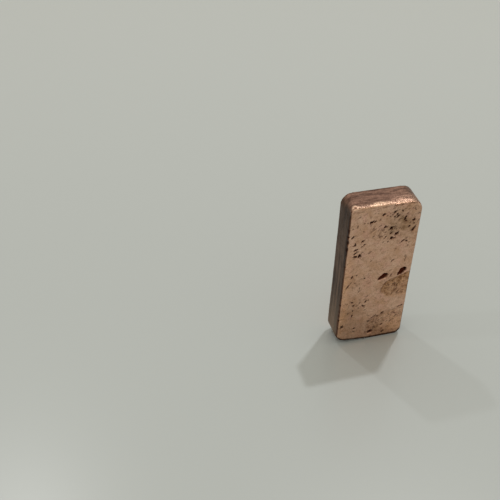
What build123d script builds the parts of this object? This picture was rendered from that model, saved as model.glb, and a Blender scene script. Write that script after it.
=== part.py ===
from build123d import *
import os
from math import asin, cos, degrees, radians, sin, tan

# Copper ingot, poured by hand into an open bar mould and stood on one end.
# Millimetres, +Z up along the bar. The side that froze on the mould's floor faces -Y,
# and the side that was open to the air faces +Y. The origin is under the middle of its box.

# Body, as the mould shaped it
face_width = 44.0  # floor side, across
face_height = 104.0  # floor side, along
thickness = 16.0  # floor side to poured side
wall_slope = 1.5  # draft of the mould's four walls, degrees
floor_edge_radius = 1.4  # edge all round the floor side
meniscus_radius = 2.0  # edge all round the poured side, drawn round by the metal's skin

# Corners of the floor side's outline. The mould was worn, so no two are alike.
top_left_radius = 6.5
top_right_radius = 7.5
foot_right_radius = 5.0
foot_left_radius = 8.5

# Hollow in the poured side, where the last metal sank as it froze
sink_length = 80.0
sink_width = 30.0
sink_depth = 0.9

# Places on the floor side are shares: of its half width, out from its middle to the right, and
# of its height, up from its foot.

# Laps in the floor side, where a later flow froze over an earlier splash. Each rim leaves the
# bar over its right edge and comes back over the right edge or the foot.
lap_depth = 0.25
lap_overrun = 3.0  # how far a lap's cut passes the bar's edge
middle_lap_shares = [
    (1.0, 0.500),
    (0.61, 0.470),
    (0.29, 0.446),
    (0.15, 0.394),
    (0.255, 0.350),
    (0.59, 0.319),
    (1.0, 0.323),
]
corner_lap_shares = [
    (1.0, 0.235),
    (0.70, 0.229),
    (0.49, 0.211),
    (0.23, 0.188),
    (0.0, 0.165),
    (-0.13, 0.115),
    (-0.13, 0.060),
    (-0.05, -0.030),
]

# Two blowholes, where large bubbles burst through the floor side: the middle of each, the
# length and width of its hollow, and the heading of its blunt end, in degrees from the right
# towards the top.
blowhole_place_shares = [(0.168, 0.486), (0.723, 0.503)]
blowhole_sizes = [(6.2, 3.4), (6.6, 3.6)]
blowhole_headings = [30, 45]
blowhole_sunk_share = 0.2  # how far below the face its axis lies, as a share of its width
blowhole_dip = 8.0  # how far its blunt end points into the metal, degrees
blowhole_tail_share = 0.35  # radius of its tail end, as a share of its blunt end's

# Gas pits in the floor side, each a single bubble
pit_place_shares = [
    (-0.07, 0.933),
    (-0.39, 0.891),
    (0.84, 0.804),
    (0.20, 0.832),
    (0.37, 0.788),
    (0.24, 0.761),
    (-0.58, 0.769),
    (-0.63, 0.666),
    (0.03, 0.051),
    (-0.90, 0.127),
]
pit_radii = [0.8, 0.9, 0.9, 0.9, 1.0, 0.9, 0.7, 0.9, 1.1, 0.9]
pit_sunk_share = 0.15  # how far below the face a bubble's middle lies, as a share of its radius

# The bar stands level on its end, so the walls' slope leans its broad sides forwards by the
# draft. Its box is then centred on the origin, front to back.
lean_cos = cos(radians(wall_slope))
lean_sin = sin(radians(wall_slope))
back_reach = (thickness - meniscus_radius * (1 + lean_sin)) / lean_cos + meniscus_radius
top_tangent = face_height - floor_edge_radius * (1 - tan(radians(wall_slope / 2)))
front_reach = floor_edge_radius * (1 - lean_cos) + top_tangent * lean_sin
front_foot_y = (front_reach - back_reach) / 2

floor_side = Plane(
    origin=(0, front_foot_y, 0),
    x_dir=(1, 0, 0),
    z_dir=(0, -lean_cos, -lean_sin),
)
poured_side = floor_side.offset(-thickness)
outward = Axis(floor_side.origin, floor_side.z_dir)


def on_face(across, up):
    """Point of the floor side, in its own plane, from shares of its half width and height."""
    return (across * face_width / 2, up * face_height)


with BuildPart() as ingot:
    # Metal that filled the mould: the floor's outline, widened by the draft towards the mouth
    with BuildSketch(floor_side):
        with Locations((0, face_height / 2)):
            Rectangle(face_width, face_height)
    extrude(amount=-thickness)
    draft(ingot.faces().sort_by(outward)[1:-1], neutral_plane=floor_side, angle=wall_slope)
    for side, end, radius in (
        (-1, 1, top_left_radius),
        (1, 1, top_right_radius),
        (1, -1, foot_right_radius),
        (-1, -1, foot_left_radius),
    ):
        corner = floor_side.from_local_coords((side * face_width / 2, face_height / 2 * (1 + end)))
        long_ways = ingot.edges().filter_by(GeomType.LINE).filter_by(
            lambda edge: abs(edge.tangent_at(0).dot(floor_side.z_dir)) > 0.9
        )
        fillet(long_ways.sort_by_distance(corner)[0], radius)
    broad_sides = ingot.faces().filter_by(GeomType.PLANE).sort_by(outward)
    fillet(broad_sides[-1].edges(), floor_edge_radius)
    broad_sides = ingot.faces().filter_by(GeomType.PLANE).sort_by(outward)
    fillet(broad_sides[0].edges(), meniscus_radius)

    # Sink: where the poured side meets a ring much wider than the bar
    ring_reach = (sink_length**2 / 4 + sink_depth**2) / (2 * sink_depth)
    ring_section = (sink_width**2 / 4 + sink_depth**2) / (2 * sink_depth)
    sink_plane = Plane(
        origin=poured_side.from_local_coords((0, face_height / 2, sink_depth)),
        x_dir=(1, 0, 0),
        z_dir=floor_side.y_dir,
    )
    with BuildSketch(sink_plane):
        with Locations((0, ring_section)):
            Circle(ring_section)
    ring_axis = Axis(sink_plane.from_local_coords((0, ring_reach, 0)), (1, 0, 0))
    revolve(axis=ring_axis, mode=Mode.SUBTRACT)

    # Laps: shallow steps that run out over the right edge
    for shares in (middle_lap_shares, corner_lap_shares):
        with BuildSketch(floor_side.offset(-lap_depth)):
            with BuildLine():
                rim = Spline([on_face(*share) for share in shares])
                beyond = face_width / 2 + lap_overrun
                Polyline(rim @ 1, (beyond, (rim @ 1).Y), (beyond, (rim @ 0).Y), rim @ 0)
            make_face()
        extrude(amount=lap_depth + lap_overrun, mode=Mode.SUBTRACT)

    # Blowholes: teardrops, each a ball, a cone and a smaller ball turned about one axis
    for place, (length, width), heading in zip(
        blowhole_place_shares, blowhole_sizes, blowhole_headings
    ):
        mouth = Plane(floor_side.location * Location((*on_face(*place), 0), (0, 0, heading)))
        dip = radians(blowhole_dip)
        drop = Plane(
            origin=mouth.origin - mouth.z_dir * width * blowhole_sunk_share,
            x_dir=mouth.x_dir * cos(dip) - mouth.z_dir * sin(dip),
            z_dir=-mouth.y_dir,
        )
        blunt_radius = width / 2
        tail_radius = blunt_radius * blowhole_tail_share
        flare = degrees(asin((blunt_radius - tail_radius) / (length - blunt_radius - tail_radius)))
        with BuildSketch(drop):
            with BuildLine():
                blunt_end = CenterArc((length / 2 - blunt_radius, 0), blunt_radius, 0, 90 + flare)
                tail_end = CenterArc(
                    (tail_radius - length / 2, 0), tail_radius, 90 + flare, 90 - flare
                )
                Line(blunt_end @ 1, tail_end @ 0)
                Line(tail_end @ 1, blunt_end @ 0)
            make_face()
        revolve(axis=Axis(drop.origin, drop.x_dir), mode=Mode.SUBTRACT)

    # Gas pits: single bubbles
    for place, radius in zip(pit_place_shares, pit_radii):
        bubble = Location((*on_face(*place), -radius * pit_sunk_share))
        with Locations(floor_side.location * bubble):
            Sphere(radius, mode=Mode.SUBTRACT)

ingot.part.label = "ingot"

os.makedirs("parts", exist_ok=True)
export_step(ingot.part, "parts/ingot.step")

box = ingot.part.bounding_box()
print("box", box.min, box.max, "volume cm3", ingot.part.volume / 1000)
print("solids", len(ingot.part.solids()), "valid", ingot.part.is_valid)
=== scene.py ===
import math
import random
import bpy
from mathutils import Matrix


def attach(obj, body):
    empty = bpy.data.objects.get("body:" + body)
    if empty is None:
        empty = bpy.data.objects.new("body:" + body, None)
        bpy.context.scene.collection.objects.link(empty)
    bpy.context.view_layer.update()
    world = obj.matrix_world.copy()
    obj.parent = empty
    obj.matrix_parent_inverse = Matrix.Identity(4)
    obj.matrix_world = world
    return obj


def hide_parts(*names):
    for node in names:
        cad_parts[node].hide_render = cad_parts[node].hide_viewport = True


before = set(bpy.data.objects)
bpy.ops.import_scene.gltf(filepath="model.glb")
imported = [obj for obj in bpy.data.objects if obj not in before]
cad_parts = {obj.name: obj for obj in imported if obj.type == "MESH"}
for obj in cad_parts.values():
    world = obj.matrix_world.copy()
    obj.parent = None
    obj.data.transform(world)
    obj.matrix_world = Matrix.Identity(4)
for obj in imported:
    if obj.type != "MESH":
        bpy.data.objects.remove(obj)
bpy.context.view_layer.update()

from types import SimpleNamespace

import bpy
import numpy as np
from mathutils import Euler, Matrix, Vector, noise

mm = 0.001

# The camera of the photograph: its place in mm, how far it looks down, how far it is
# turned to the right and rolled, in degrees, and its lens on the 36 mm sensor
shot = {
    "place": (-178.7, -345.6, 342.8),
    "lookDown": 36.15,
    "turnRight": 16.25,
    "roll": 1.0,
    "lens": 56.61,
    "sensor": 36.0,
}


def linear(hexColour):
    channels = [int(hexColour[i : i + 2], 16) / 255 for i in (1, 3, 5)]
    return (*[c / 12.92 if c <= 0.04045 else ((c + 0.055) / 1.055) ** 2.4 for c in channels], 1.0)


def addNode(tree, kind, settings=None, inputs=None):
    node = tree.nodes.new(kind)
    for name, value in (settings or {}).items():
        setattr(node, name, value)
    for socket, value in (inputs or {}).items():
        if isinstance(value, bpy.types.NodeSocket):
            tree.links.new(value, node.inputs[socket])
        else:
            node.inputs[socket].default_value = value
    return node


def newMaterial(name):
    material = bpy.data.materials.new(name)
    material.use_nodes = True
    material.node_tree.nodes.clear()
    return material, material.node_tree


def selectOnly(piece):
    bpy.ops.object.select_all(action="DESELECT")
    piece.select_set(True)
    bpy.context.view_layer.objects.active = piece


def applyModifier(piece, kind, **settings):
    selectOnly(piece)
    modifier = piece.modifiers.new(kind.lower(), kind)
    for name, value in settings.items():
        setattr(modifier, name, value)
    bpy.ops.object.modifier_apply(modifier=modifier.name)


def setSelection(piece, kind, chosen):
    # Selects the vertices, edges or faces that the mask names, and leaves the piece in edit mode
    mode = {"vertices": "VERT", "edges": "EDGE", "polygons": "FACE"}[kind]
    bpy.ops.object.mode_set(mode="EDIT")
    bpy.ops.mesh.select_mode(type=mode)
    bpy.ops.mesh.select_all(action="DESELECT")
    bpy.ops.object.mode_set(mode="OBJECT")
    getattr(piece.data, kind).foreach_set("select", chosen)
    bpy.ops.object.mode_set(mode="EDIT")


def smoothStep(low, high, value):
    # Runs from 0 at low to 1 at high, and the other way round where low is the larger
    share = np.clip((value - low) / (high - low), 0.0, 1.0)
    return share * share * (3 - 2 * share)


def hump(*runs):
    # 1 at the middle and less on either side; each run is a value, its middle and its spread
    return np.exp(-sum(((value - middle) / spread) ** 2 for value, middle, spread in runs))


def between(ends, share):
    return ends[0] + (ends[1] - ends[0]) * share


# Camera
cameraData = bpy.data.cameras.new("camera")
cameraData.sensor_width = shot["sensor"]
cameraData.lens = shot["lens"]
camera = bpy.data.objects.new("camera", cameraData)
bpy.context.scene.collection.objects.link(camera)
aim = Euler((math.radians(90 - shot["lookDown"]), 0, math.radians(-shot["turnRight"]))).to_matrix()
aim = aim @ Matrix.Rotation(math.radians(shot["roll"]), 3, "Z")
camera.matrix_world = Matrix.Translation(Vector(shot["place"]) * mm) @ aim.to_4x4()
bpy.context.scene.camera = camera
print("camera placed")

# The ingot's body, in mm and degrees, as the mould shaped it. While it is being made it
# stands straight, with its floor side at y = 0 and its poured side at y = thickness.
body = {
    "width": 44.0,  # floor side
    "height": 104.0,
    "thickness": 16.0,
    "draft": 1.5,
    "corners": {(-1, 1): 6.5, (1, 1): 7.5, (1, -1): 4.5, (-1, -1): 8.5},  # radii, by side and end
    "cornerSegments": 8,
    "tightCorners": {(-1, 1): 3.0, (-1, -1): 5.0},  # radii at the floor side, where they are smaller
    "tightDepths": (13, 1),  # how deep the smaller radii begin, and where they are reached
    "topRim": 2.7,  # rounding between the floor side and the top end
    "sideRim": 1.1,  # and its long edges
    "footRim": 1.9,
    "rimEnds": (0.05, 0.97),  # shares of the height, below and above which a rim is an end's
    "meniscus": 2.0,  # rounding all round the poured side
    "rimSegments": 5,
    "voxel": 0.6,  # skin of the other sides; the floor side has squares of half that
    "smoothing": (0.5, 2),  # of that skin: how strong, and how many times
    "fineDepth": 2.0,  # how deep the finer squares go
    "fineFacing": 0.15,  # and how much they face forwards
    "atEdge": 0.49,  # share of a full size past which an edge lies at the box's own edge
    "footY": -6.63,  # where the floor side meets the ground
}


def makeBody():
    width, height, thickness = (body[k] * mm for k in ("width", "height", "thickness"))
    growth = thickness * math.tan(math.radians(body["draft"]))
    bpy.ops.object.select_all(action="DESELECT")
    bpy.ops.mesh.primitive_cube_add(
        size=1, location=(0, thickness / 2, height / 2), scale=(width, thickness, height)
    )
    piece = bpy.context.active_object
    piece.name = "castIngot"
    bpy.ops.object.transform_apply(location=True, rotation=False, scale=True)

    # Taper: the poured side is larger by the draft all round
    setSelection(piece, "vertices", [v.co.y > thickness / 2 for v in piece.data.vertices])
    bpy.ops.transform.resize(
        value=(1 + 2 * growth / width, 1, 1 + 2 * growth / height),
        center_override=(0, 0, height / 2),
    )
    bpy.ops.object.mode_set(mode="OBJECT")

    # Corners: each edge that runs from side to side is rounded by its own radius
    for (side, end), radius in body["corners"].items():
        chosen = []
        for edge in piece.data.edges:
            a, b = (piece.data.vertices[i].co for i in edge.vertices)
            across, up = (a.x + b.x) / 2 * side, ((a.z + b.z) / 2 - height / 2) * end
            atCorner = across > width * body["atEdge"] and up > height * body["atEdge"]
            chosen.append(atCorner and abs(a.y - b.y) > thickness / 2)
        setSelection(piece, "edges", chosen)
        bpy.ops.mesh.bevel(offset=radius * mm, segments=body["cornerSegments"], affect="EDGES")
        bpy.ops.object.mode_set(mode="OBJECT")

    # Rims: each edge round the two broad sides is rounded by its own width
    weights = piece.data.attributes.new("bevel_weight_edge", "FLOAT", "EDGE")
    footEnd, topEnd = (share * height for share in body["rimEnds"])
    for edge in piece.data.edges:
        a, b = (piece.data.vertices[i].co for i in edge.vertices)
        middle = (a + b) / 2
        if abs(a.y - b.y) > thickness / 2:
            continue
        if middle.y > thickness / 2:
            rim = body["meniscus"]
        elif middle.z > topEnd:
            rim = body["topRim"]
        elif middle.z < footEnd:
            rim = body["footRim"]
        else:
            rim = body["sideRim"]
        weights.data[edge.index].value = rim / body["topRim"]
    applyModifier(
        piece,
        "BEVEL",
        limit_method="WEIGHT",
        width=body["topRim"] * mm,
        segments=body["rimSegments"],
    )

    # An even skin of small squares, finer on the floor side, for the relief
    applyModifier(piece, "REMESH", mode="VOXEL", voxel_size=body["voxel"] * mm)
    strength, times = body["smoothing"]
    applyModifier(piece, "SMOOTH", factor=strength, iterations=times)
    deepest, least = body["fineDepth"] * mm, body["fineFacing"]
    front = [f.center.y < deepest and f.normal.y < -least for f in piece.data.polygons]
    setSelection(piece, "polygons", front)
    bpy.ops.mesh.subdivide(number_cuts=1)
    bpy.ops.object.mode_set(mode="OBJECT")
    return piece


ingot = makeBody()
print("body made, faces", len(ingot.data.polygons))


# Relief. Its steps share one skin: each point's place in mm (to the right of the floor side's
# middle, in from that side, and up from the foot), its normal, how far it rises, how much it
# belongs to each side, and the layers that the finish follows.
def noiseAt(points, size, seed):
    # One value in about -1 to 1 for each point. The pattern's size is in mm, as one number or as
    # one for each axis, and each seed gives a pattern of its own.
    offset = Vector([step * seed for step in (17.3, 5.1, 9.7)])
    if np.ndim(size):
        points, size = points / np.array(size), 1
    return np.array([noise.noise(Vector(p) / size + offset) for p in points])


def turned(points, degrees):
    # The first two columns, turned so that the first runs along a heading
    c, s = math.cos(math.radians(degrees)), math.sin(math.radians(degrees))
    return points[:, 0] * c + points[:, 1] * s, -points[:, 0] * s + points[:, 1] * c


def lineGap(points, a, b):
    # Distance from each point to a straight run, and how far along the run it is
    run = b - a
    share = np.clip(((points - a) @ run) / (run @ run), 0, 1)
    return np.hypot(*(points - a - share[:, None] * run).T), share


def insideDepth(points, outline):
    # Distance in from a closed outline, positive inside
    nearest = np.full(len(points), np.inf)
    inside = np.zeros(len(points), bool)
    for a, b in zip(outline, np.roll(outline, -1, axis=0)):
        nearest = np.minimum(nearest, lineGap(points, a, b)[0])
        crosses = (a[1] > points[:, 1]) != (b[1] > points[:, 1])
        with np.errstate(divide="ignore", invalid="ignore"):
            atX = (b[0] - a[0]) * (points[:, 1] - a[1]) / (b[1] - a[1]) + a[0]
        inside ^= crosses & (points[:, 0] < atX)
    return np.where(inside, nearest, -nearest)


def rounded(outline, rounds=2):
    # Cuts an outline's corners, so that it runs smoothly
    ring = np.array(outline, float)
    for _ in range(rounds):
        ahead = np.roll(ring, -1, axis=0)
        ring = np.stack([ring * 0.75 + ahead * 0.25, ring * 0.25 + ahead * 0.75], 1).reshape(-1, 2)
    return ring


# How much a point belongs to a side: its normal's part in that direction, where it doesn't and
# where it does; and how deep in the floor side can still reach, in mm
facing = {"broad": (0.3, 0.85), "narrow": (0.4, 0.8), "frontDepth": 4}


def readSkin(piece):
    mesh = piece.data
    place, normals = np.empty(len(mesh.vertices) * 3), np.empty(len(mesh.vertices) * 3)
    mesh.vertices.foreach_get("co", place)
    mesh.vertices.foreach_get("normal", normals)
    place, normals = place.reshape(-1, 3) / mm, normals.reshape(-1, 3)
    return SimpleNamespace(
        place=place,
        normals=normals,
        rise=np.zeros(len(place)),
        front=smoothStep(*facing["broad"], -normals[:, 1]) * (place[:, 1] < facing["frontDepth"]),
        back=smoothStep(*facing["broad"], normals[:, 1]),
        wall=smoothStep(*facing["narrow"], np.abs(normals[:, 0])),
        top=smoothStep(*facing["narrow"], normals[:, 2]),
        foot=smoothStep(*facing["narrow"], -normals[:, 2]),
        layers={name: np.zeros(len(place)) for name in ("darkSpotsAndShade", "cave", "lap", "fold")},
    )


def deepen(skin, name, values):
    # Strengthens a layer where the values are stronger than what it has
    skin.layers[name] = np.maximum(skin.layers[name], values)


def tightenCorner(skin, side, end):
    # Pushes the skin out round a corner of the outline, to a smaller radius at the floor side
    across, depth, up = skin.place.T
    wide, tight = body["corners"][side, end], body["tightCorners"][side, end]
    growth = depth * math.tan(math.radians(body["draft"]))
    outX = across * side - (body["width"] / 2 + growth - wide)
    outZ = (up - body["height"] / 2) * end - (body["height"] / 2 + growth - wide)
    inCorner = (outX > 0) & (outZ > 0)
    outX, outZ = np.where(inCorner, outX, 1), np.where(inCorner, outZ, 1)
    reach = np.hypot(outX, outZ)
    longer, shorter = np.maximum(outX, outZ), np.minimum(outX, outZ)
    shift = (wide - tight) * smoothStep(*body["tightDepths"], depth)
    middle = shift * (outX + outZ) / reach
    arc = middle + np.sqrt(np.maximum(middle**2 - 2 * shift**2 + (wide - shift) ** 2, 0))
    onArc = wide * shorter / longer > shift
    push = np.where(inCorner, np.where(onArc, arc, wide * reach / longer) / wide - 1, 0)
    skin.place[:, 0] += side * outX * push
    skin.place[:, 2] += end * outZ * push


# The foot's front edge is worn away towards the left: how far up at most, from which place
# across, over what run, and between which distances it fades, in from the edge both ways
footWear = {"lift": 1.9, "start": 1, "run": 20, "fade": (10, 1)}


def shapeOutline(skin):
    for side, end in body["tightCorners"]:
        tightenCorner(skin, side, end)
    across, depth, up = skin.place.T
    worn = np.clip((footWear["start"] - across) / footWear["run"], 0, 1)
    worn *= smoothStep(*footWear["fade"], depth) * smoothStep(*footWear["fade"], up)
    skin.lift = footWear["lift"] * worn
    skin.place[:, 2] += skin.lift
    skin.face = skin.place[:, [0, 2]]


# Uneven skin, in mm. Lengths for three axes run across, in depth and up, but for the streaks
# along them, aside and in depth.
uneven = {
    "gritSize": 0.8,  # two patterns that later steps share
    "blotchSize": 2.6,
    "waves": [(21, 0.20), (7, 0.07), (2.2, 0.03), (0.9, 0.02)],  # length and height of each
    "streakAngle": 35,  # the way the metal ran, degrees from the right towards the top
    "streakLengths": (4.0, 1.2, 9),
    "streakHeight": 0.07,
    "wallLengths": (6, 1.8, 26),  # shallow wrinkles along the walls
    "wallCrossLengths": (3, 4, 4),  # and weaker ones that break them up
    "wallCrossShare": 0.5,
    "wallHeight": 0.08,
    "endLengths": (5, 1.8, 2),  # wrinkles across the ends
    "endHeight": 0.05,
}


def unevenSkin(skin):
    skin.grit = noiseAt(skin.place, uneven["gritSize"], seed=22)
    skin.blotch = noiseAt(skin.place, uneven["blotchSize"], seed=23)
    for seed, (length, height) in enumerate(uneven["waves"], start=1):
        skin.rise += height * noiseAt(skin.place, length, seed)
    ran = np.stack([*turned(skin.face, uneven["streakAngle"]), skin.place[:, 1]], 1)
    skin.rise += skin.front * uneven["streakHeight"] * noiseAt(ran, uneven["streakLengths"], seed=5)
    wrinkles = noiseAt(skin.place, uneven["wallLengths"], seed=6)
    wrinkles += uneven["wallCrossShare"] * noiseAt(skin.place, uneven["wallCrossLengths"], seed=7)
    skin.rise += skin.wall * uneven["wallHeight"] * wrinkles
    skin.rise += skin.top * uneven["endHeight"] * noiseAt(skin.place, uneven["endLengths"], seed=31)


# Laps: steps down where a later flow froze over an earlier splash, with frozen ripples along the
# rim and a granular skin, in mm. The first points of each outline are its rim, which froze
# crisp; round the rest it melts into the skin. Its stain is strong at the rim and weaker past
# its reach.
laps = {
    "flows": [
        {
            "outline": [
                (27, 54), (21, 52.0), (17.4, 50.8), (13.4, 48.9), (9.4, 48.0), (6.4, 46.4),
                (4.4, 43.8), (3.3, 41.4), (3.2, 38.6), (4.9, 35.4), (8.6, 32.4), (12.9, 31.2),
                (17, 31.4), (22, 32.0), (27, 32),
            ],
            "rim": 9, "depth": 0.32, "crisp": 0.8, "stain": 0.95, "farStain": 0.5, "reach": 8.0,
        },
        {
            "outline": [
                (27, 25), (21.2, 24.4), (17.9, 24.4), (15.3, 23.8), (13.4, 22.3), (10.7, 21.9),
                (7.7, 21.4), (5.0, 19.5), (2.0, 19.0), (-0.3, 16.8), (-2.4, 14.6), (-3.0, 11.3),
                (-3.3, 8.5), (-2.6, 4.9), (-1.0, 1.5), (-1.0, -3), (27, -3),
            ],
            "rim": 12, "depth": 0.26, "crisp": 0.35, "stain": 0.4, "farStain": 0.15, "reach": 5.0,
        },
    ],
    "crispGap": (4.0, 1.0),  # distances from the rim at which the step melts and is crisp
    "stepWidths": (2.55, 0.35),  # of a melted and of a crisp step
    "ragged": (2.0, 0.4),  # length and size of its waver
    "meltedRagged": 0.9,  # further waver where it melts
    "lip": (-0.3, 0.35),  # a low lip outside the step, and its spread
    "foldLength": 1.25,  # from one frozen ripple to the next
    "foldFade": 3.0,  # how far in from the rim they die away
    "height": 0.09,  # of the lip, the ripples and the granular skin
    "darkEdge": (0.3, 0.5),  # oxide and painted shadow just inside the step, and its spread
    "darkEdgeParts": (3.0, 0.5, 0.6),  # length, middle and range of its strength
    "meltedDark": 0.25,  # what is left of it where the step melts
    "darkTroughs": (0.1, 0.7, 0.8),  # ripple depths where oxide starts and is full, and strength
    "darkBand": (3.5, 1.0, 0.4),  # distances from the rim, and strength
    "stainBlotch": 0.35,  # how blotched the stain is
    "speckFrom": (0.05, 0.3),  # dark specks of the granular skin
    "speckBlotch": 0.5,
    "speckReach": 4.0,
    "speckNear": 1.1,  # their strength at the rim
    "speckFar": 0.5,  # and far from it, as a share of the stain's
}


def addLaps(skin):
    for seed, flow in enumerate(laps["flows"], start=8):
        rim = np.array(flow["outline"][: flow["rim"]], float)
        rimGap = np.min([lineGap(skin.face, a, b)[0] for a, b in zip(rim, rim[1:])], axis=0)
        crisp = flow["crisp"] * smoothStep(*laps["crispGap"], rimGap)
        length, waver = laps["ragged"]
        ragged = waver * noiseAt(skin.place, length, seed)
        ragged += (1 - crisp) * laps["meltedRagged"] * skin.blotch
        inward = insideDepth(skin.face, rounded(flow["outline"])) + ragged
        share = smoothStep(0, between(laps["stepWidths"], crisp), inward) * skin.front
        lip = hump((inward, *laps["lip"])) * skin.front * crisp
        ripple = np.sin(2 * np.pi * inward / laps["foldLength"])
        ripple *= np.exp(-np.clip(inward, 0, None) / laps["foldFade"])
        skin.rise += laps["height"] * (lip + share * (crisp * ripple + skin.grit))
        skin.rise -= flow["depth"] * share

        stain = between((flow["farStain"], flow["stain"]), hump((rimGap, 0, flow["reach"])))
        deepen(skin, "lap", share * stain * (1 + laps["stainBlotch"] * skin.blotch))
        # Oxide and painted shadow just inside the step
        length, middle, spread = laps["darkEdgeParts"]
        edge = hump((inward, *laps["darkEdge"]))
        edge *= middle + spread * noiseAt(skin.place, length, seed + 30)
        deepen(skin, "fold", edge * skin.front * between((laps["meltedDark"], 1), crisp))
        low, high, strength = laps["darkTroughs"]
        deepen(skin, "fold", strength * crisp * share * smoothStep(low, high, -ripple))
        far, near, strength = laps["darkBand"]
        deepen(skin, "fold", strength * crisp * share * smoothStep(far, near, rimGap))
        ends = (laps["speckFar"] * flow["stain"], laps["speckNear"])
        strength = between(ends, np.exp(-rimGap / laps["speckReach"]))
        specks = smoothStep(*laps["speckFrom"], skin.grit + laps["speckBlotch"] * skin.blotch)
        deepen(skin, "fold", share * specks * strength)


# Blowholes, where large bubbles burst through the floor side, in mm: head, tail, half widths
# there, and depth at the head
blowholes = {
    "places": [
        ((4.7, 51.1), (1.5, 49.1), 2.15, 0.95, 2.6),
        ((16.5, 53.4), (13.9, 50.5), 2.2, 0.95, 2.8),
    ],
    "flare": 0.6,  # power by which they widen from tail to head
    "ragged": (1.3, 0.3),  # length and share of their outline's waver
    "steepness": 0.4,  # power by which they deepen from the edge
    "tailDepth": 0.45,  # share of the head's
    "lip": (1.15, 0.35, 0.1),  # place as a share of the half width, spread and height
    "darkFrom": (-0.12, 0.15),
}


def addBlowholes(skin):
    length, waver = blowholes["ragged"]
    ragged = 1 + waver * noiseAt(skin.place, length, seed=11)
    lipPlace, lipSpread, lipHeight = blowholes["lip"]
    for head, tail, headHalf, tailHalf, deepest in blowholes["places"]:
        gap, share = lineGap(skin.face, np.array(tail), np.array(head))
        half = between((tailHalf, headHalf), share ** blowholes["flare"])
        inside = 1 - gap / (half * ragged)
        hollow = np.clip(inside, 0, None) ** blowholes["steepness"]
        hollow *= between((blowholes["tailDepth"], 1), share) * deepest
        lip = lipHeight * hump((gap, half * lipPlace, lipSpread))
        skin.rise += skin.front * (lip - hollow)
        # Darkened inside: partly soot, partly painted shade
        deepen(skin, "cave", smoothStep(*blowholes["darkFrom"], inside) * skin.front)


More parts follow.
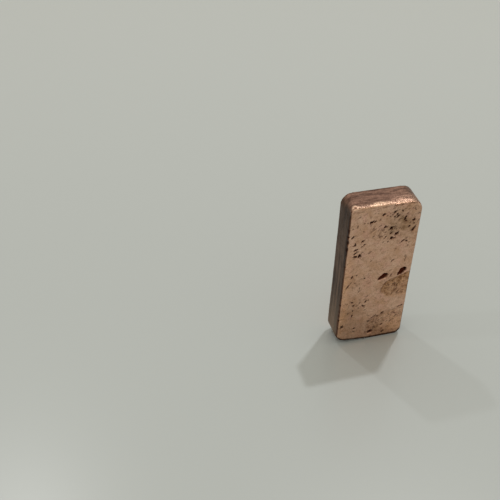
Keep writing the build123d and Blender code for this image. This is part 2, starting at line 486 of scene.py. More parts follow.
# Pits and pores, each where a small bubble reached the skin, in mm
pits = {
    # Place, half length, half width, heading in degrees, depth
    "places": [
        (-1.6, 97.0, 0.9, 0.7, 40, 0.9), (-8.5, 92.7, 1.3, 0.8, 30, 0.9),
        (-6.5, 93.0, 0.9, 0.4, 45, 0.5), (-3.5, 93.8, 0.7, 0.35, 40, 0.3),
        (-11.0, 92.6, 0.6, 0.4, 40, 0.25), (5.2, 97.6, 1.4, 0.4, 55, 0.5),
        (6.8, 96.0, 0.8, 0.5, 60, 0.5), (7.5, 94.6, 1.0, 0.6, 60, 0.8),
        (5.5, 94.5, 0.7, 0.4, 40, 0.45), (4.2, 96.4, 0.9, 0.35, 35, 0.3),
        (2.5, 95.2, 0.5, 0.4, 40, 0.3), (0.4, 95.9, 0.5, 0.35, 30, 0.3),
        (9.7, 98.0, 0.7, 0.5, 120, 0.45), (12.4, 93.2, 1.1, 0.5, 65, 0.8),
        (12.0, 91.7, 0.8, 0.5, 70, 0.8), (12.8, 90.4, 0.6, 0.5, 30, 0.8),
        (17.8, 90.3, 0.85, 0.75, 40, 1.0), (18.5, 83.6, 1.6, 0.65, 62, 1.3),
        (15.6, 86.1, 0.9, 0.45, 70, 0.5), (15.7, 88.8, 0.5, 0.35, 40, 0.3),
        (18.2, 88.0, 0.5, 0.4, 40, 0.45), (19.4, 86.0, 0.5, 0.35, 60, 0.35),
        (0.2, 88.0, 1.0, 0.5, 45, 0.5), (4.4, 86.5, 1.1, 0.85, 50, 1.0),
        (1.5, 88.0, 0.6, 0.35, 45, 0.3), (3.0, 85.6, 0.5, 0.4, 45, 0.35),
        (7.6, 85.5, 0.5, 0.35, 40, 0.3), (6.3, 87.5, 0.8, 0.3, 40, 0.3),
        (4.4, 82.8, 0.65, 0.5, 40, 0.5), (8.1, 81.9, 1.4, 0.85, 45, 1.3),
        (5.3, 79.1, 1.0, 0.85, 20, 1.1), (7.0, 79.0, 1.0, 0.35, 8, 0.6),
        (1.5, 80.8, 0.9, 0.35, 60, 0.5), (0.9, 79.7, 0.5, 0.3, 60, 0.3),
        (3.2, 76.9, 0.5, 0.4, 40, 0.45), (13.0, 76.1, 1.2, 0.5, 35, 0.6),
        (15.3, 75.5, 0.7, 0.45, 140, 0.5), (15.2, 77.7, 0.5, 0.35, 40, 0.35),
        (16.7, 72.0, 0.4, 0.35, 40, 0.35), (17.1, 74.4, 0.4, 0.3, 40, 0.25),
        (-16.5, 74.2, 1.2, 0.55, 20, 1.0), (-16.7, 71.5, 1.0, 0.55, 50, 1.0),
        (-16.3, 69.2, 1.1, 0.7, 15, 1.1), (-13.8, 69.3, 1.1, 0.95, 75, 1.4),
        (-17.6, 77.6, 1.1, 0.5, 10, 0.7), (-17.2, 78.9, 0.7, 0.35, 100, 0.6),
        (-15.9, 72.7, 0.6, 0.3, 60, 0.5), (-12.8, 80.0, 1.2, 0.5, 45, 0.9),
        (-11.3, 77.4, 0.7, 0.4, 45, 0.6), (-13.0, 76.1, 0.8, 0.3, 40, 0.4),
        (-19.4, 83.8, 1.2, 0.5, 40, 0.7), (-17.1, 91.0, 1.1, 0.3, 80, 0.3),
        (-19.9, 90.0, 0.5, 0.35, 40, 0.25), (-16.3, 97.7, 0.6, 0.4, 40, 0.25),
        (-7.7, 86.1, 1.4, 0.25, 30, 0.25), (-13.1, 87.1, 0.5, 0.3, 40, 0.25),
        (-2.7, 84.3, 0.4, 0.3, 40, 0.25), (17.6, 98.2, 0.9, 0.35, 120, 0.3),
        (15.9, 99.0, 0.5, 0.3, 40, 0.25), (-16.6, 53.7, 1.1, 0.4, 72, 0.6),
        (-13.7, 54.8, 0.45, 0.35, 40, 0.4), (-8.4, 51.5, 0.5, 0.45, 40, 0.5),
        (-10.7, 51.4, 0.8, 0.2, 0, 0.25), (-14.3, 48.9, 0.5, 0.35, 30, 0.35),
        (-16.9, 49.2, 1.1, 0.2, 60, 0.3), (-18.7, 46.7, 1.6, 0.45, 60, 0.4),
        (-10.7, 43.8, 1.3, 0.22, 85, 0.3), (-11.0, 41.4, 1.0, 0.25, 60, 0.3),
        (-14.3, 33.3, 0.6, 0.5, 120, 0.6), (-13.4, 30.4, 0.55, 0.5, 40, 0.6),
        (-13.3, 26.3, 0.6, 0.4, 80, 0.5), (-13.4, 22.2, 0.9, 0.4, 85, 0.5),
        (-5.4, 32.4, 0.9, 0.5, 60, 0.9), (-7.0, 29.0, 0.8, 0.45, 150, 0.6),
        (-5.8, 27.8, 0.4, 0.3, 150, 0.35), (6.9, 20.6, 1.1, 0.6, 30, 0.6),
        (7.9, 10.2, 0.7, 0.5, 20, 0.6), (12.0, 7.3, 0.6, 0.35, 20, 0.3),
        (0.7, 5.6, 1.9, 1.2, 25, 1.6), (8.9, 50.8, 0.8, 0.4, 55, 0.4),
        (-10.9, 10.9, 0.8, 0.55, 75, 0.9), (-10.9, 8.0, 0.9, 0.45, 20, 0.3),
        (-19.5, 13.9, 1.3, 0.9, 75, 0.45), (9.3, 3.8, 1.1, 0.6, 40, 0.5),
        (-2.8, 5.9, 0.5, 0.4, 80, 0.35), (8.4, 62.1, 1.2, 0.4, 45, 0.4),
        (16.8, 62.4, 1.6, 0.25, 78, 0.3), (17.7, 23.6, 0.6, 0.5, 40, 0.5),
        (17.0, 16.2, 0.5, 0.4, 40, 0.4), (19.5, 24.2, 1.0, 0.5, 40, 0.5),
        (1.0, 18.2, 2.6, 0.28, 38, 0.45), (-1.6, 15.0, 0.8, 0.6, 60, 0.4),
        (3.5, 13.6, 0.6, 0.4, 0, 0.3), (13.6, 11.8, 0.9, 0.4, 60, 0.3),
        (15.7, 13.2, 0.6, 0.4, 40, 0.3),
    ],
    # Zones where faint pores lie thick: place, spread, how many
    "poreZones": [
        (8, 91, 11, 40), (3, 83, 8, 22), (-8, 90, 9, 18), (-15, 73, 5, 10), (-11, 30, 8, 20),
        (4, 10, 8, 24), (14, 16, 7, 12), (11, 40, 6, 16), (-2, 62, 16, 8),
    ],
    "poreSpread": 0.6,  # share of a zone's spread within which most lie
    "poreSizes": (0.2, 0.42),  # half widths
    "poreStretch": (1.2, 2.6),  # half length as a share of the half width
    "poreHeading": (42, 16),  # degrees, and their spread
    "poreDepth": 0.5,  # share of the half width
    # And in the poured side
    "pouredPores": 16,
    "pouredAcross": (-0.45, 0.45),  # shares of the width
    "pouredUp": (0.05, 0.95),
    "pouredSizes": (0.25, 0.55),
    "pouredStretch": (1.0, 1.6),
    "pouredDepth": 0.8,
    "seed": 7,
    "growth": 1.2,  # of all, so that they show as in the photograph
    "wobble": (0.7, 0.55),  # length and share of their outline's waver
    "reach": 2.4,  # half lengths past which nothing of a pit is left
    "lip": (1.25, 0.28, 0.09),  # place and spread as shares of the pit's size, and height
    "darkFrom": (-0.25, 0.3),
    "darkness": (0.25, 1.4),  # soot and painted shade: of a pit with no depth, and more for each mm
}


def addPits(skin):
    draw = random.Random(pits["seed"])
    spots = [(*spot, skin.front) for spot in pits["places"]]
    for x, z, spread, number in pits["poreZones"]:
        spread *= pits["poreSpread"]
        for _ in range(number):
            size = draw.uniform(*pits["poreSizes"])
            spots.append((
                draw.gauss(x, spread), draw.gauss(z, spread),
                size * draw.uniform(*pits["poreStretch"]), size,
                draw.gauss(*pits["poreHeading"]), size * pits["poreDepth"], skin.front,
            ))
    for _ in range(pits["pouredPores"]):
        size = draw.uniform(*pits["pouredSizes"])
        spots.append((
            draw.uniform(*pits["pouredAcross"]) * body["width"],
            draw.uniform(*pits["pouredUp"]) * body["height"],
            size * draw.uniform(*pits["pouredStretch"]), size,
            draw.uniform(0, 180), size * pits["pouredDepth"], skin.back,
        ))

    length, waver = pits["wobble"]
    lipPlace, lipSpread, lipHeight = pits["lip"]
    faintest, darker = pits["darkness"]
    dark = skin.layers["darkSpotsAndShade"]
    for x, z, halfLength, halfWidth, heading, deepest, side in spots:
        halfLength, halfWidth = halfLength * pits["growth"], halfWidth * pits["growth"]
        near = (np.hypot(*(skin.face - (x, z)).T) < halfLength * pits["reach"]) & (side > 0)
        if not near.any():
            continue
        along, aside = turned(skin.face[near] - (x, z), heading)
        gap = np.hypot(along / halfLength, aside / halfWidth)
        gap *= 1 + waver * noiseAt(skin.place[near], length, seed=12)
        hollow = deepest * np.sqrt(np.clip(1 - gap, 0, None))
        lip = lipHeight * min(1, deepest) * hump((gap, lipPlace, lipSpread))
        skin.rise[near] += side[near] * (lip - hollow)
        # Darker the deeper it is: soot with painted shade
        strength = min(1, faintest + darker * deepest) * side[near]
        dark[near] = np.maximum(dark[near], strength * smoothStep(*pits["darkFrom"], 1 - gap))


# Top edge of the floor side: a worn crest, bright partly with painted highlight, over a narrow
# groove darkened with painted shade, both more broken to the right, in mm. Pairs are values at the
# left and at the right unless a note says otherwise.
topEdge = {
    "zone": 5,  # how far down and in it reaches
    "glow": (-4.5, 5),  # where the crest is widest and its painted highlight brightest, and its spread
    "rightGlow": (3, 11, 0.2),  # a weaker part to the right: from, to, strength
    "slopes": (18, 42),  # degrees that the skin leans back, where the crest starts and is full
    "crestDepths": (2.8, 1.2),  # how deep it ends and is full
    "glowDepths": (1.4, 1.0),  # how much deeper where it glows
    "turnAway": (0.75, 0.45),  # how much it may face sideways, at most and at its fullest
    "broken": (-6, 4),  # places across between which it comes to be broken
    "lumps": [(1.8, 1.0), (0.8, 0.6)],  # length and share of each
    "lumpHeights": (0.11, 0.17),
    "sag": (-3, 14, 6.5, 0.6),  # the end sinks to the right: from, to, how far in, how deep
    "sagZone": 3,  # how far down it reaches
    "sagFacing": (0.2, 0.7),
    "grooveDrops": (2.9, 1.5),  # how far the groove lies below the top
    "grooveWaver": [(4.0, 0.4), (1.2, 0.2)],  # length and size
    "grooveWidths": (0.25, 0.37),
    "grooveDepths": (0.12, 0.32),
    # painted shade in the groove, at the left and at the right
    "grooveShade": (0.6, 1.0),
    "grooveZone": 3,  # how deep it goes
    "grooveEnds": 1.2,  # how far short of the long edges it stops
    "grooveGaps": (2.6, -0.35, 0.1, 0.1),  # its breaks: length, none, full, and more to the right
    "grooveShadeSpots": (1.6, -0.2, 0.3),  # painted shade spots to the right: length, none and full
    "bead": (2.6, 1.3, 0.4),  # a ring at its left end: from the left edge, in, and below the top
    "beadRing": (1.5, 0.5),  # its radius and spread
    "beadHeight": 0.15,
    "beadHollow": (1.0, 0.3, 0.35),  # inside the ring: radii of its edge and floor, and depth
    "beadOxide": (1.1, 0.6, 0.9),  # radii where it starts and is full, and strength
}


def wearTopEdge(skin):
    across, depth, up = skin.place.T
    width, height = body["width"], body["height"]
    slope = np.degrees(np.arctan2(skin.normals[:, 2], -skin.normals[:, 1]))
    low, high, strength = topEdge["rightGlow"]
    skin.glow = hump((across, *topEdge["glow"])) + strength * smoothStep(low, high, across)
    ends, full = (a + b * skin.glow for a, b in zip(topEdge["crestDepths"], topEdge["glowDepths"]))
    skin.crest = smoothStep(*topEdge["slopes"], slope) * smoothStep(ends, full, depth)
    skin.crest *= (up > height - topEdge["zone"]) & (depth < topEdge["zone"])
    skin.crest *= smoothStep(*topEdge["turnAway"], np.abs(skin.normals[:, 0]))
    broken = smoothStep(*topEdge["broken"], across)

    low, high, inward, deepest = topEdge["sag"]
    sag = smoothStep(low, high, across) * np.clip(1 - depth / inward, 0, 1) ** 2
    sag *= (up > height - topEdge["sagZone"]) * smoothStep(*topEdge["sagFacing"], skin.normals[:, 2])
    skin.rise -= deepest * sag
    lumps = 0
    for seed, (length, share) in enumerate(topEdge["lumps"], start=13):
        lumps = lumps + share * noiseAt(skin.place, length, seed)
    skin.rise += skin.crest * between(topEdge["lumpHeights"], broken) * lumps

    (longLength, longWaver), (shortLength, shortWaver) = topEdge["grooveWaver"]
    grooveUp = height - between(topEdge["grooveDrops"], broken)
    grooveUp += longWaver * noiseAt(skin.place * (1, 0, 0), longLength, seed=24)
    grooveUp += shortWaver * noiseAt(skin.place, shortLength, seed=25)
    groove = hump((up, grooveUp, between(topEdge["grooveWidths"], broken)))
    groove *= (depth < topEdge["grooveZone"]) & (np.abs(across) < width / 2 - topEdge["grooveEnds"])
    length, low, high, further = topEdge["grooveGaps"]
    groove *= smoothStep(low, high, noiseAt(skin.place, length, seed=26) - further * broken)
    skin.rise -= between(topEdge["grooveDepths"], broken) * groove
    # The groove is darkened with painted shade
    deepen(skin, "fold", groove * between(topEdge["grooveShade"], broken))
    length, low, high = topEdge["grooveShadeSpots"]
    sootAndShade = smoothStep(low, high, noiseAt(skin.place, length, seed=35))
    deepen(skin, "darkSpotsAndShade", groove * broken * sootAndShade)

    fromLeft, inward, below = topEdge["bead"]
    middle = (fromLeft - width / 2, inward, height - below)
    skin.fromBead = np.linalg.norm(skin.place - middle, axis=1)
    skin.bead = hump((skin.fromBead, *topEdge["beadRing"]))
    edge, bottom, deepest = topEdge["beadHollow"]
    skin.rise += topEdge["beadHeight"] * skin.bead
    skin.rise -= deepest * smoothStep(edge, bottom, skin.fromBead)
    start, full, strength = topEdge["beadOxide"]
    deepen(skin, "fold", strength * smoothStep(start, full, skin.fromBead))


# Long left edge: dents, and dark scale along it where the mould's joint leaked, in mm
leftEdge = {
    "flank": ((-0.1, 1.1), (0.3, 1.3)),  # where it lies across and in depth, each with its spread
    "wear": (4.0, 0.05, 0.18),  # length, least and further depth
    # How far up, half length, depth
    "dents": [
        (89.2, 0.9, 0.25), (84.3, 1.0, 0.45), (80.1, 1.9, 0.6), (75.4, 2.2, 0.5),
        (62.2, 1.1, 0.3), (37.8, 0.9, 0.3), (32.1, 1.2, 0.35), (19.7, 1.3, 0.4),
    ],
    "dentWaver": (1.2, 0.5),  # length and share
    "dentEnds": (1.0, 0.2),  # shares of the half length where a dent ends and is full
    "dentDark": (0.3, 0.8),
    "dentDarkness": 1.8,  # for each mm of depth
    # Scale: heights where it starts, is full, is full to, and ends; and its strength
    "scaleRuns": [(62, 72, 88, 94, 1.0), (6, 14, 36, 48, 0.6)],
    "scalePlace": (-0.05, 0.55),
    "scaleDepth": 1.8,
    "scaleLength": 2.6,
    "scaleGrit": 0.4,
    "scaleFrom": (-0.1, 0.3),
    "scaleDarkness": 0.9,
}


def dentLeftEdge(skin):
    across, depth, up = skin.place.T
    fromEdge = across + body["width"] / 2
    acrossRun, depthRun = leftEdge["flank"]
    flank = hump((fromEdge, *acrossRun), (depth, *depthRun))
    length, least, further = leftEdge["wear"]
    skin.rise -= flank * (least + further * np.abs(noiseAt(skin.place, length, seed=15)))
    length, share = leftEdge["dentWaver"]
    waver = 1 + share * noiseAt(skin.place, length, seed=27)
    for z, halfLength, deepest in leftEdge["dents"]:
        dent = smoothStep(*leftEdge["dentEnds"], np.abs(up - z) / halfLength * waver) * flank
        skin.rise -= deepest * dent
        darkness = min(1, leftEdge["dentDarkness"] * deepest)
        deepen(skin, "darkSpotsAndShade", darkness * smoothStep(*leftEdge["dentDark"], dent))

    scale = sum(
        strength * smoothStep(start, full, up) * smoothStep(end, fullTo, up)
        for start, full, fullTo, end, strength in leftEdge["scaleRuns"]
    )
    scale *= hump((fromEdge, *leftEdge["scalePlace"])) * (depth < leftEdge["scaleDepth"])
    pattern = noiseAt(skin.place * (0, 0, 1), leftEdge["scaleLength"], seed=28)
    pattern += leftEdge["scaleGrit"] * skin.grit
    scale *= smoothStep(*leftEdge["scaleFrom"], pattern)
    deepen(skin, "darkSpotsAndShade", leftEdge["scaleDarkness"] * scale)


# Poured side: it sank as it froze, in ripples round the last pool, under a wrinkled skin, in mm
pouredSide = {
    "poolMiddle": 0.53,  # share of the height
    "poolSize": (0.42, 0.43),  # half sizes as shares of the width and the height
    "sink": 0.9,
    "sinkReach": (1.0, 0.1),  # shares of the pool's size where the sink ends and is full
    "ripples": 13,  # radians over the pool's half size
    "rippleWaver": [(17, 16, 5.0), (5, 32, 0.8)],  # length, seed and size
    "rippleReach": (1.2, 0.8),
    "rippleHeight": 0.2,
    "wrinkleLengths": (6, 6, 4),
    "wrinkleHeight": 0.1,
    "blotchHeight": 0.03,
}


def sinkPouredSide(skin):
    across, _, up = skin.place.T
    halfWidth, halfHeight = pouredSide["poolSize"]
    outX = across / (body["width"] * halfWidth)
    outZ = (up - body["height"] * pouredSide["poolMiddle"]) / (body["height"] * halfHeight)
    reach = np.hypot(outX, outZ)
    swirl = reach * pouredSide["ripples"]
    for length, seed, size in pouredSide["rippleWaver"]:
        swirl += size * noiseAt(skin.place, length, seed)
    ripple = np.sin(swirl) * smoothStep(*pouredSide["rippleReach"], reach)
    wrinkle = 1 - 2 * np.abs(noiseAt(skin.place, pouredSide["wrinkleLengths"], seed=17))
    rise = pouredSide["rippleHeight"] * ripple + pouredSide["blotchHeight"] * skin.blotch
    rise -= pouredSide["sink"] * smoothStep(*pouredSide["sinkReach"], reach)
    rise -= pouredSide["wrinkleHeight"] * wrinkle
    skin.rise += skin.back * rise


def writeSkin(piece, skin):
    # The foot it stands on is quiet. It leans forwards by the draft, so that it stands level.
    quiet = 0.9
    skin.rise *= 1 - quiet * skin.foot
    skin.place += skin.normals * skin.rise[:, None]
    across, depth, up = skin.place.T
    lean = math.radians(body["draft"])
    leant = np.stack([
        across,
        depth * math.cos(lean) - up * math.sin(lean) + body["footY"],
        np.maximum(depth * math.sin(lean) + up * math.cos(lean), 0),
    ], 1)
    piece.data.vertices.foreach_set("co", (leant * mm).ravel())
    piece.data.update()


# What the finish follows, in mm: worn edges and painted highlight, oxide and painted shade, clean
# copper, bare crystals and painted glints, and stained zones
finish = {
    "wearLumps": [(1.1, 18, 0.9), (4, 36, 0.35)],  # length, seed and share
    "wearGlow": 0.65,
    "wearFrom": (-0.1, 0.5),
    "wearRight": (1, 8, 0.4),  # from, to and how much weaker
    "beadWear": 0.9,
    "beadBare": (0.7, 1.2),  # distances from the bead's middle where none is and where it is full
    # How much the poured side's worn edge faces backwards: from, full from, full to, end
    "arrisFacing": (0.2, 0.5, 0.75, 0.95),
    "arrisLength": 4.0,
    "arrisGrit": 0.5,
    "arrisFrom": (0.0, 0.45),
    "arrisWear": 0.6,
    "tarnishAndShade": (0.75, 0.2),  # how much a point faces forwards where tarnish and painted shade start and are full
    # Red oxide along the walls' front edges, wider towards the foot: width at the top, further
    # width at the foot, heights between which it widens, waver's length and size
    "oxide": (1.0, 1.8, (70, 15), 5.0, 0.5),
    "oxideFull": 0.5,  # share of the width within which it is full
    "oxideFacing": (0.35, 0.8),
    # painted shade over the foot, in the red oxide's colour
    "footShade": 0.8,
    # Painted shade: a dark line along the foot's edge
    "footLine": (2.1, 1.3),
    "footLineBlotch": 0.25,
    "footLineUp": (5.5, 3),
    "footLineDepth": 4,
    "footLineDarkness": 0.9,
    # Clean copper along the left edge: distances from the edge and heights where it starts and
    # is full, heights where it fades towards the foot; and round a place to the right
    "warmGap": (7, 1.5),
    "warmUp": (80, 52),
    "warmFoot": (6, 18),
    "warmFootShare": 0.3,
    "warmZone": ((16, 9), (9, 10)),  # place and spread across, and the same up
    "warmParts": (0.8, 0.6),  # middle and range of its blotches
    # Bare crystals, bright partly as painted glints, thickest along the end's front edge and to its
    # right
    "fleckRight": (-6, 14),
    "fleckLeast": 0.12,
    "fleckEdge": 0.5,  # how far in they are thickest
    "fleckDepths": (1.3, 5.5),  # how far they spread, at the left and at the right
    "fleckStrengths": (0.6, 1.0),
    "fleckFacing": (0.1, 0.5),
    "frontFleck": 0.10,  # on the floor side, and more round one place
    "frontFleckZone": ((17, 5), (20, 5), 0.4),
    # Stained zones: place, spreads, strength
    "mottles": [
        (10, 91, 8, 7, 0.9), (6, 84, 8, 5, 0.4), (-14, 14, 12, 10, 0.25), (15, 84, 5, 8, 0.4),
        (-14, 28, 5, 10, 0.25), (0, 6, 20, 4, 0.2), (4, 10, 6, 6, 0.4),
    ],
    "mottleParts": [(5, 19, 0.5), (1.8, 21, 0.5)],  # length, seed and share
    "mottleMiddle": 0.6,
    "calm": (0.8, 0.65),  # how much grit the poured side and the walls lack
}


def addWearAndHighlights(skin):
    # Along the top crest and round the bead the bright wear is partly painted highlight; on the
    # poured side's edge it is wear
    across, depth, up = skin.place.T
    wear = finish["wearGlow"] * skin.glow
    for length, seed, share in finish["wearLumps"]:
        wear = wear + share * noiseAt(skin.place, length, seed)
    low, high, weaker = finish["wearRight"]
    wear = skin.crest * smoothStep(*finish["wearFrom"], wear)
    wear *= 1 - weaker * smoothStep(low, high, across)
    wear *= smoothStep(*finish["beadBare"], skin.fromBead)
    wear = np.maximum(wear, finish["beadWear"] * skin.bead)
    start, full, fullTo, end = finish["arrisFacing"]
    backwards = skin.normals[:, 1]
    arris = smoothStep(start, full, backwards) * smoothStep(end, fullTo, backwards)
    pattern = noiseAt(skin.place, finish["arrisLength"], seed=33)
    pattern += finish["arrisGrit"] * skin.grit
    arris *= finish["arrisWear"] * smoothStep(*finish["arrisFrom"], pattern)
    skin.layers["wear"] = np.maximum(wear, arris)

    # Bare crystals, their bright colour partly painted glints
    rightward = smoothStep(*finish["fleckRight"], across)
    fleck = hump((
        np.clip(depth - finish["fleckEdge"], 0, None), 0, between(finish["fleckDepths"], rightward)
    ))
    fleck = between((finish["fleckLeast"], 1), fleck) * between(finish["fleckStrengths"], rightward)
    fleck *= smoothStep(*finish["fleckFacing"], skin.normals[:, 2]) * (up > body["height"] / 2)
    acrossRun, upRun, strength = finish["frontFleckZone"]
    zone = hump((across, *acrossRun), (up, *upRun))
    skin.layers["fleck"] = fleck + skin.front * (finish["frontFleck"] + strength * zone)


def addOxideAndShade(skin):
    across, depth, up = skin.place.T
    # Whatever doesn't face forwards takes the darker wall tone: partly tarnish, partly painted shade
    skin.layers["tarnishAndShade"] = smoothStep(*finish["tarnishAndShade"], -skin.normals[:, 1])
    least, further, heights, length, waver = finish["oxide"]
    wide = least + further * smoothStep(*heights, up) + waver * noiseAt(skin.place, length, seed=34)
    red = smoothStep(wide, wide * finish["oxideFull"], depth)
    red *= smoothStep(*finish["oxideFacing"], np.abs(skin.normals[:, 0]))
    # The foot is darkened with painted shade in the same colour
    skin.layers["red"] = np.maximum(red, finish["footShade"] * skin.foot)

    low = up - skin.lift
    footGap = low
    for side, radius in ((-1, body["tightCorners"][-1, -1]), (1, body["corners"][1, -1])):
        outX, outZ = across * side - (body["width"] / 2 - radius), radius - low
        footGap = np.where((outX > 0) & (outZ > 0), radius - np.hypot(outX, outZ), footGap)
    # Painted shade along the foot's edge, laid into the dark spots layer
    paintedFootShade = smoothStep(*finish["footLine"], footGap + finish["footLineBlotch"] * skin.blotch)
    paintedFootShade *= smoothStep(*finish["footLineUp"], low) * (depth < finish["footLineDepth"])
    deepen(skin, "darkSpotsAndShade", finish["footLineDarkness"] * paintedFootShade)


def addStains(skin):
    across, _, up = skin.place.T
    warm = smoothStep(*finish["warmGap"], body["width"] / 2 + across)
    warm *= smoothStep(*finish["warmUp"], up)
    warm *= between((finish["warmFootShare"], 1), smoothStep(*finish["warmFoot"], up))
    acrossRun, upRun = finish["warmZone"]
    warm = np.maximum(warm, hump((across, *acrossRun), (up, *upRun))) * skin.front
    middle, spread = finish["warmParts"]
    skin.layers["warm"] = warm * (middle + spread * skin.blotch)

    mottle = sum(
        strength * hump((across, x, spreadX), (up, z, spreadZ))
        for x, z, spreadX, spreadZ, strength in finish["mottles"]
    )
    parts = finish["mottleMiddle"]
    for length, seed, share in finish["mottleParts"]:
        parts = parts + share * noiseAt(skin.place, length, seed)
    skin.layers["mottle"] = np.clip(mottle * parts, 0, 1) * skin.front
    calmBack, calmWall = finish["calm"]
    skin.layers["end"] = skin.top + skin.foot
    skin.layers["poured"] = skin.back
    skin.layers["gritty"] = 1 - calmBack * skin.back - calmWall * skin.wall


def sculptRelief(piece):
    skin = readSkin(piece)
    shapeOutline(skin)
    unevenSkin(skin)
    addLaps(skin)
    addBlowholes(skin)
    addPits(skin)
    wearTopEdge(skin)
    dentLeftEdge(skin)
    sinkPouredSide(skin)
    writeSkin(piece, skin)
    addWearAndHighlights(skin)
    addOxideAndShade(skin)
    addStains(skin)
    for name, values in skin.layers.items():
        layer = piece.data.attributes.new(name, "FLOAT", "POINT")
        layer.data.foreach_set("value", np.clip(values, 0, 1).astype(np.float32))
    return list(skin.layers)


layerNames = sculptRelief(ingot)
selectOnly(ingot)
bpy.ops.object.shade_smooth()
print("relief made")

# Cast copper, hand poured and left as it froze: a satin metal, salmon brown where the mould's
# floor kept the air off, darker where it lay open, darker on its walls and ends partly by tarnish
# and partly with painted shade, nearly black in its pores partly with painted shade, and bright on
# its edges partly with painted highlight.
copper = {
    "colours": {
        "salmon": "#EEC6AD",  # floor side
        "brown": "#D7AA8B",
        "rose": "#EAB8A4",
        "clean": "#F2BD94",  # clean copper near its edges
        "olive": "#967655",  # stained zones
        "lapLight": "#DDAB80",  # laps, a warmer and more granular skin
        "lapDark": "#A8744A",
        "wallLight": "#755C4C",  # mould walls, darker partly by tarnish and partly with painted shade
        "wallDark": "#3E2A1F",
        "wallFoot": "#A88F78",
        "redOxideAndShade": "#5E3C2A",  # along their edges, and as painted shade over the foot
        # ends, darker than the floor side partly by tarnish and partly with painted shade
        "endLight": "#86685A",
        "endDark": "#543D34",
        "pouredLight": "#C7957F",  # the side that froze in the open air
        "pouredDark": "#AA7963",
        # bare crystals, partly painted glints
        "crystalAndGlint": "#FBCDB4",
        "foldOxideAndShade": "#6A4630",  # oxide in folds and at the laps' rims, and painted shade there and in the top edge's groove
        "wornAndHighlight": "#EFCBB0",  # worn edges, and painted highlight along the top crest
        "sootAndShade": "#2E120A",  # in pores, partly painted shade, and painted shade along the foot and in the top groove
        "deepSootAndShade": "#3C1A10",  # and in blowholes, partly painted shade
    },
    "shades": {  # these darken what they lie on
        "grainShade": "#9C8676",
        "blotchShade": "#A08A78",
        "crystalShade": "#7A6252",
    },
    # Patterns: size in mm, detail, roughness, turn in degrees, and squeeze along each axis. The
    # grain is the crystals of the cast skin, drawn coarse enough to show.
    "patterns": {
        "grain": (0.6, 3.0, 0.6, (0, 0, 0), (1, 1, 1)),
        "crystals": (0.75, 1.0, 0.5, (0, 0, 0), (1, 1, 1)),
        "coarse": (2.4, 3.0, 0.6, (0, 0, 0), (1, 1, 1)),
        "spread": (5.0, 2.0, 0.5, (0, 0, 0), (1, 1, 1)),
        "patch": (9.0, 3.0, 0.55, (0, 0, 0), (1, 1, 1)),
        "streak": (1.1, 3.0, 0.6, (0, uneven["streakAngle"], 0), (0.2, 0.5, 1.0)),
        "drawn": (1.6, 3.0, 0.55, (0, 0, 0), (0.3, 0.6, 0.03)),  # along the walls
        "swept": (1.6, 4.0, 0.6, (0, 0, -12), (0.22, 1.0, 0.5)),  # across the ends
    },
    # Tones: each is a colour under coats. A coat has what it follows, the values between which
    # that comes in, its strength, where it may lie, and its colour, shade or earlier tone.
    "tones": {
        "lapTone": ("lapLight", [("coarse", 0.34, 0.66, 1.0, "everywhere", "lapDark")]),
        "wallTone": ("wallLight", [  # darker high up and lighter near the foot
            ("drawn", 0.45, 0.56, 1.0, "everywhere", "wallDark"),
            ("patch", 0.44, 0.68, 0.5, "everywhere", "wallDark"),
            ("height", 50 * mm, 90 * mm, 0.4, "everywhere", "wallDark"),
            ("height", 42 * mm, 4 * mm, 0.55, "everywhere", "wallFoot"),
        ]),
        "endTone": ("endLight", [("swept", 0.38, 0.62, 1.0, "everywhere", "endDark")]),
        "pouredTone": ("pouredLight", [
            ("patch", 0.44, 0.58, 0.6, "everywhere", "pouredDark"),
            ("coarse", 0.40, 0.65, 0.6, "everywhere", "pouredDark"),
        ]),
        "castTone": ("salmon", [  # the whole skin
            ("patch", 0.35, 0.65, 1.0, "everywhere", "brown"),
            ("streak", 0.46, 0.66, 0.5, "everywhere", "brown"),
            ("spread", 0.50, 0.66, 0.45, "everywhere", "rose"),
            ("warm", 0, 1, 0.7, "everywhere", "clean"),
            ("mottle", 0, 1, 0.9, "everywhere", "olive"),
            ("lap", 0, 1, 1.0, "everywhere", "lapTone"),
            # walls and ends take their darker tones, partly tarnish and partly painted shade
            ("tarnishAndShade", 0, 1, 1.0, "everywhere", "wallTone"),
            ("end", 0, 1, 1.0, "everywhere", "endTone"),
            ("poured", 0, 1, 1.0, "everywhere", "pouredTone"),
            ("red", 0, 1, 0.85, "everywhere", "redOxideAndShade"),
            ("grain", 0.44, 0.72, 0.42, "gritty", "grainShade"),
            ("coarse", 0.50, 0.70, 0.42, "gritty", "blotchShade"),
            # bright crystals, partly painted glints
            ("crystals", 0.38, 0.68, 0.65, "fleck", "crystalAndGlint"),
            ("crystals", 0.36, 0.28, 0.28, "gritty", "crystalShade"),
            # oxide in folds, with painted shade in the top groove and at the laps' rims
            ("fold", 0, 1, 0.85, "everywhere", "foldOxideAndShade"),
            ("bareAndHighlight", 0, 1, 1.0, "everywhere", "wornAndHighlight"),
            ("darkSpotsAndShade", 0, 1, 1.0, "everywhere", "sootAndShade"),
            ("cave", 0, 1, 1.0, "everywhere", "deepSootAndShade"),
        ]),
    },
    "bareGrain": (0.35, 0.54),  # grain between which a worn edge comes to show bare metal
    "roughness": (0.3, 0.45),  # clean, and tarnished or pitted
    "roughSteps": [("brightest", -0.13), ("poured", -0.17), ("grain", 0.08)],  # added by each
    "bumpDepth": 0.3,  # mm
    "grainBump": (0.2, 0.6),  # strength without bare crystals, and where they are thick
    "coarseBump": 0.6,
}


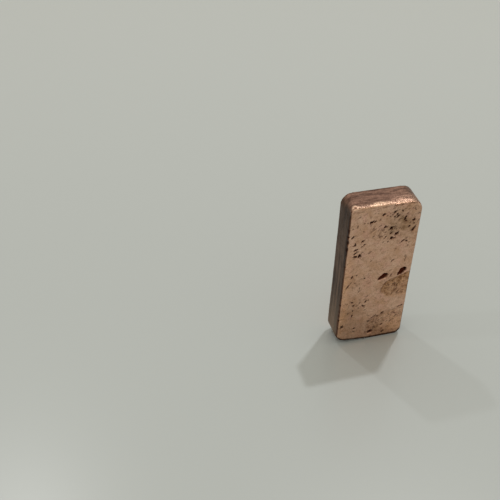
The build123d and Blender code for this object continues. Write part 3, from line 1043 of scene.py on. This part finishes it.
def findSources(tree, place):
    # All that a coat can follow: the layers of the relief, the patterns and the height
    apart = addNode(tree, "ShaderNodeSeparateXYZ", inputs={0: place})
    sources = {"everywhere": 1.0, "height": apart.outputs["Z"]}
    for name in layerNames:
        layer = addNode(tree, "ShaderNodeAttribute", {"attribute_name": name})
        sources[name] = layer.outputs["Fac"]
    for name, (size, detail, roughness, turn, squeeze) in copper["patterns"].items():
        turn = [math.radians(angle) for angle in turn]
        laid = addNode(
            tree, "ShaderNodeMapping", inputs={"Vector": place, "Rotation": turn, "Scale": squeeze}
        )
        pattern = addNode(tree, "ShaderNodeTexNoise", inputs={
            "Vector": laid.outputs[0], "Scale": 1 / (size * mm),
            "Detail": detail, "Roughness": roughness,
        })
        sources[name] = pattern.outputs["Fac"]

    # A worn edge shows bare metal grain by grain; along the top crest this is partly painted
    # highlight
    low, high = copper["bareGrain"]
    grains = addNode(tree, "ShaderNodeMapRange", inputs={
        "Value": sources["grain"], "From Min": low, "From Max": high,
    })
    bareAndHighlight = addNode(
        tree, "ShaderNodeMath", {"operation": "MULTIPLY"}, {0: sources["wear"], 1: grains.outputs[0]}
    )
    sources["bareAndHighlight"] = bareAndHighlight.outputs[0]
    brightest = addNode(
        tree, "ShaderNodeMath", {"operation": "MAXIMUM"}, {0: bareAndHighlight.outputs[0], 1: sources["fleck"]}
    )
    sources["brightest"] = brightest.outputs[0]
    return sources


def layTones(tree, sources):
    colours = {**copper["colours"], **copper["shades"]}
    tones = {name: linear(hexColour) for name, hexColour in colours.items()}
    for name, (base, coats) in copper["tones"].items():
        colour = tones[base]
        for source, low, high, strength, mask, over in coats:
            thickness = addNode(tree, "ShaderNodeMapRange", inputs={
                "Value": sources[source], "From Min": low, "From Max": high, "To Max": strength,
            })
            share = addNode(
                tree, "ShaderNodeMath", {"operation": "MULTIPLY"},
                {0: thickness.outputs[0], 1: sources[mask]},
            )
            blend = "MULTIPLY" if over in copper["shades"] else "MIX"
            coat = addNode(
                tree, "ShaderNodeMix", {"data_type": "RGBA", "blend_type": blend},
                {0: share.outputs[0], 6: colour, 7: tones[over]},
            )
            colour = coat.outputs[2]
        tones[name] = colour
    return tones["castTone"]


def findRoughness(tree, sources):
    # Rougher where it is tarnished or pitted, smoother where it is bare or froze in the open air
    dull = addNode(
        tree, "ShaderNodeMath", {"operation": "ADD", "use_clamp": True},
        {0: sources["tarnishAndShade"], 1: sources["darkSpotsAndShade"]},
    )
    clean, tarnished = copper["roughness"]
    rough = addNode(tree, "ShaderNodeMapRange", inputs={
        "Value": dull.outputs[0], "To Min": clean, "To Max": tarnished,
    })
    for name, amount in copper["roughSteps"]:
        rough = addNode(
            tree, "ShaderNodeMath", {"operation": "MULTIPLY_ADD", "use_clamp": True},
            {0: sources[name], 1: amount, 2: rough.outputs[0]},
        )
    return rough.outputs[0]


def findFineRelief(tree, sources):
    # The grain, deeper among bare crystals, and the coarser skin over it
    least, most = copper["grainBump"]
    strength = addNode(tree, "ShaderNodeMapRange", inputs={
        "Value": sources["fleck"], "To Min": least, "To Max": most,
    })
    deepest = copper["bumpDepth"] * mm
    fine = addNode(tree, "ShaderNodeBump", inputs={
        "Strength": strength.outputs[0], "Distance": deepest, "Height": sources["grain"],
    })
    relieved = addNode(tree, "ShaderNodeBump", inputs={
        "Strength": copper["coarseBump"], "Distance": deepest, "Height": sources["coarse"],
        "Normal": fine.outputs[0],
    })
    return relieved.outputs[0]


def makeCopper():
    material, tree = newMaterial("castCopper")
    place = addNode(tree, "ShaderNodeTexCoord").outputs["Object"]
    sources = findSources(tree, place)
    shader = addNode(tree, "ShaderNodeBsdfPrincipled", inputs={
        "Base Color": layTones(tree, sources), "Metallic": 1.0,
        "Roughness": findRoughness(tree, sources), "Normal": findFineRelief(tree, sources),
    })
    addNode(tree, "ShaderNodeOutputMaterial", inputs={"Surface": shader.outputs[0]})
    return material


ingot.data.materials.clear()
ingot.data.materials.append(makeCopper())
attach(ingot, "root")
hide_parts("ingot")
print("finish made")

# Floor: a pale stone table top, polished, so it keeps a soft trace of what stands on it
table = {"size": 6.0, "colour": "#ADB3B3", "roughness": 0.3}  # size in m
bpy.ops.object.select_all(action="DESELECT")
bpy.ops.mesh.primitive_plane_add(size=table["size"], location=(0, 0, 0))
floor = bpy.context.active_object
floor.name = "floor"
stone, tree = newMaterial("paleFloor")
shader = addNode(tree, "ShaderNodeBsdfPrincipled", inputs={
    "Base Color": linear(table["colour"]), "Roughness": table["roughness"],
})
addNode(tree, "ShaderNodeOutputMaterial", inputs={"Surface": shader.outputs[0]})
floor.data.materials.append(stone)

# Lamps: bearing from ahead towards the right and height, in degrees, as the shadows in the
# photograph give them; distance in m, width in mm and watts
lamps = {
    "backRight": {"bearing": 47.3, "height": 69.9, "distance": 1.7, "width": 60, "watts": 7.1},
    "backLeft": {"bearing": -22.5, "height": 55.1, "distance": 1.7, "width": 60, "watts": 2.3},
    "left": {"bearing": -81, "height": 38, "distance": 1.7, "width": 90, "watts": 1.4},
}
for name, lamp in lamps.items():
    lampData = bpy.data.lights.new(name, "AREA")
    lampData.size = lamp["width"] * mm
    lampData.energy = lamp["watts"]
    lampObject = bpy.data.objects.new(name, lampData)
    bpy.context.scene.collection.objects.link(lampObject)
    bearing, tall = math.radians(lamp["bearing"]), math.radians(lamp["height"])
    level = math.cos(tall)
    towards = Vector((math.sin(bearing) * level, math.cos(bearing) * level, math.sin(tall)))
    lampObject.location = towards * lamp["distance"]
    lampObject.rotation_euler = towards.to_track_quat("Z", "Y").to_euler()

room = {"colour": "#DDD7CA", "strength": 1.0}  # plain pale light from all round
world = bpy.data.worlds.new("room")
world.use_nodes = True
background = world.node_tree.nodes["Background"]
background.inputs["Color"].default_value = linear(room["colour"])
background.inputs["Strength"].default_value = room["strength"]
bpy.context.scene.world = world
bpy.context.scene.view_settings.view_transform = "Standard"
print("stage made")
